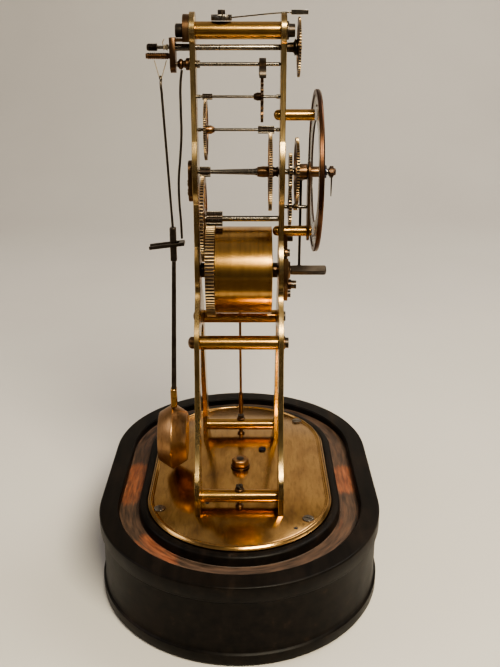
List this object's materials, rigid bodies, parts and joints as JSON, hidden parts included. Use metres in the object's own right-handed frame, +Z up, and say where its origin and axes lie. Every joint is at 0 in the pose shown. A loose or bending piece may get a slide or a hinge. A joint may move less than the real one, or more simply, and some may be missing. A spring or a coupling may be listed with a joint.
{
  "type": "skeleton clock",
  "caption": "Skeleton clock: two pierced brass plates on a polished platform and an oval wooden base, with open going train, ring dial and a short pendulum on a silk loop.",
  "frame": {"origin": "middle of the wooden base's underside", "axes": "+Z up; the dial faces -Y and the pendulum hangs behind the rear plate, on the +Y side; +X is to the right as one faces the dial and runs along the oval base"},
  "size_m": [0.2594, 0.1858, 0.362],
  "materials": {
    "brass": "polished, lightly tarnished",
    "polished_brass": "mirror polished",
    "old_brass": "darkened, brown patina",
    "steel": "polished, aged",
    "blued_steel": "blued, nearly black",
    "ebonised_wood": "ebonised, satin, worn brown in the groove",
    "enamel": "glossy cream white",
    "silk": "twisted thread"
  },
  "bodies": {
    "frame": {"wood_base": "ebonised_wood", "platform_plate": "polished_brass", "platform_nut": "steel", "platform_stud": "steel", "rear_plate": "brass", "front_plate": "brass", "top_pillar": "brass", "left_mid_pillar": "brass", "right_mid_pillar": "brass", "left_foot_pillar": "brass", "right_foot_pillar": "brass", "left_foot_screw": "steel", "right_foot_screw": "steel", "top_pillar_front_nut": "steel", "top_pillar_rear_nut": "steel", "stay_rod": "steel", "suspension_cock": "brass", "suspension_pin": "brass", "thumb_nut": "steel", "motion_bridge": "brass", "bridge_stay": "blued_steel", "dial_ring": "enamel", "dial_bezel": "old_brass", "upper_dial_pillar": "brass", "lower_dial_pillar": "brass"},
    "winding": {"barrel_arbor": "steel", "ratchet_wheel": "steel"},
    "click": {"click": "old_brass"},
    "barrel": {"barrel_drum": "brass", "barrel_cover": "brass", "great_wheel": "brass", "mainspring": "blued_steel"},
    "intermediate": {"intermediate_arbor": "steel", "intermediate_wheel": "brass"},
    "centre": {"centre_arbor": "steel", "centre_wheel": "brass", "cannon_wheel": "brass", "minute_hand": "blued_steel", "hand_nut": "brass"},
    "minute_work": {"minute_arbor": "steel", "minute_wheel": "brass"},
    "hour": {"hour_wheel": "brass", "hour_hand": "blued_steel"},
    "fourth": {"fourth_arbor": "steel", "fourth_wheel": "brass"},
    "escape": {"escape_arbor": "steel", "escape_wheel": "brass"},
    "crutch": {"pallet_arbor": "steel", "pallet_anchor": "steel", "crutch_hub": "old_brass", "crutch_wire": "steel", "crutch_fork": "old_brass"},
    "pendulum": {"pendulum_wire": "steel", "pendulum_block": "steel", "pendulum_rod": "steel", "pendulum_bob": "brass", "suspension_silk": "silk"},
    "rating": {"rating_arbor": "steel", "rating_wheel": "brass"},
    "detent": {"detent_spring": "steel"}
  },
  "joints": [
    {"name": "escape_spin", "type": "hinge", "parent": "frame", "child": "escape", "pos_m": [0, 0, 0.3135], "axis": [0, 1, 0], "continuous": true},
    {"name": "fourth_spin", "type": "hinge", "parent": "frame", "child": "fourth", "pos_m": [0, 0, 0.2941], "axis": [0, 1, 0], "continuous": true},
    {"name": "centre_spin", "type": "hinge", "parent": "frame", "child": "centre", "pos_m": [0, 0, 0.2686], "axis": [0, 1, 0], "continuous": true},
    {"name": "intermediate_spin", "type": "hinge", "parent": "frame", "child": "intermediate", "pos_m": [0, 0, 0.2391], "axis": [0, 1, 0], "continuous": true},
    {"name": "barrel_spin", "type": "hinge", "parent": "frame", "child": "barrel", "pos_m": [0, 0, 0.2052], "axis": [0, 1, 0], "continuous": true},
    {"name": "minute_work_spin", "type": "hinge", "parent": "frame", "child": "minute_work", "pos_m": [0, 0, 0.2466], "axis": [0, 1, 0], "continuous": true},
    {"name": "hour_spin", "type": "hinge", "parent": "frame", "child": "hour", "pos_m": [0, 0, 0.2686], "axis": [0, 1, 0], "continuous": true},
    {"name": "winding_turn", "type": "hinge", "parent": "frame", "child": "winding", "pos_m": [0, 0, 0.2052], "axis": [0, 1, 0], "range_deg": [0, 1440]},
    {"name": "click_lift", "type": "hinge", "parent": "frame", "child": "click", "pos_m": [-0.01, -0.0296, 0.2195], "axis": [0, 1, 0], "range_deg": [-12, 0]},
    {"name": "pendulum_swing", "type": "hinge", "parent": "frame", "child": "pendulum", "pos_m": [0, 0.0464, 0.3332], "axis": [0, 1, 0], "range_deg": [-3, 3]},
    {"name": "crutch_swing", "type": "hinge", "parent": "frame", "child": "crutch", "pos_m": [0, 0, 0.332], "axis": [0, 1, 0], "range_deg": [-3.1, 3.1]},
    {"name": "rating_turn", "type": "hinge", "parent": "frame", "child": "rating", "pos_m": [0, 0, 0.3414], "axis": [0, 1, 0], "range_deg": [-360, 360]},
    {"name": "detent_lift", "type": "hinge", "parent": "frame", "child": "detent", "pos_m": [-0.0042, 0.0048, 0.3576], "axis": [-1, 0, 0], "range_deg": [0, 3]}
  ],
  "couplings": [
    {"joint": "fourth_spin", "follows": "escape_spin", "ratio": -0.083333},
    {"joint": "centre_spin", "follows": "escape_spin", "ratio": 0.0069444},
    {"joint": "intermediate_spin", "follows": "escape_spin", "ratio": -0.00069444},
    {"joint": "barrel_spin", "follows": "escape_spin", "ratio": 0.000099206},
    {"joint": "minute_work_spin", "follows": "escape_spin", "ratio": -0.0069444},
    {"joint": "hour_spin", "follows": "escape_spin", "ratio": 0.0005787},
    {"joint": "crutch_swing", "follows": "pendulum_swing", "ratio": 1.011}
  ]
}
